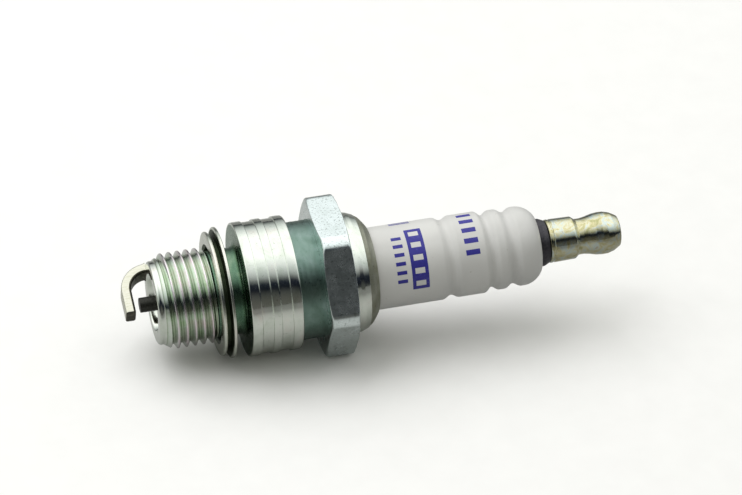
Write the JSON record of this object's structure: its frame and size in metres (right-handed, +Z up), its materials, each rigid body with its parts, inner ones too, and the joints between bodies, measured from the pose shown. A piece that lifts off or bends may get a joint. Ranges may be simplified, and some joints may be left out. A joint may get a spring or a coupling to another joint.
{
  "type": "spark plug",
  "caption": "Spark plug with a threaded shell, a hexagon, a ribbed ceramic insulator, a loose folded gasket and a removable terminal nut.",
  "frame": {"origin": "centre of the plane of the shell that seats on the cylinder head", "axes": "+X along the plug's axis, from the spark gap to the terminal; +Z up, with flats of the hexagon at +Z and -Z"},
  "size_m": [0.073, 0.0232, 0.0208],
  "materials": {
    "zinc_shell": "turned and zinc plated, with a green passivate in the recesses",
    "nickel_strap": "bright, slightly yellow",
    "gasket_steel": "rolled and zinc plated",
    "glazed_insulator": null,
    "copper": "plain copper",
    "packing_steel": "plain",
    "talc": "pressed powder",
    "black_nickel": "black, satin",
    "seal_glass": "fused, opaque",
    "resistor_body": "pressed carbon and glass",
    "black_stud": "black oxide, satin",
    "passivated_nut": "bright, with a yellow passivate"
  },
  "bodies": {
    "plug": {"shell": "zinc_shell", "ground_electrode": "nickel_strap", "insulator": "glazed_insulator", "inner_seat_gasket": "copper", "lower_packing_ring": "packing_steel", "talc_packing": "talc", "upper_packing_ring": "packing_steel", "centre_electrode": "black_nickel", "copper_core": "copper", "lower_glass_seal": "seal_glass", "resistor": "resistor_body", "upper_glass_seal": "seal_glass", "terminal_stud": "black_stud"},
    "gasket": {"outer_gasket": "gasket_steel"},
    "nut": {"terminal_nut": "passivated_nut"}
  },
  "joints": [
    {"name": "gasket_slide", "type": "slide", "parent": "plug", "child": "gasket", "axis": [1, 0, 0], "range_m": [-0.0006, 0.0021]},
    {"name": "nut_unscrew", "type": "slide", "parent": "plug", "child": "nut", "axis": [1, 0, 0], "range_m": [0, 0.0095]}
  ]
}
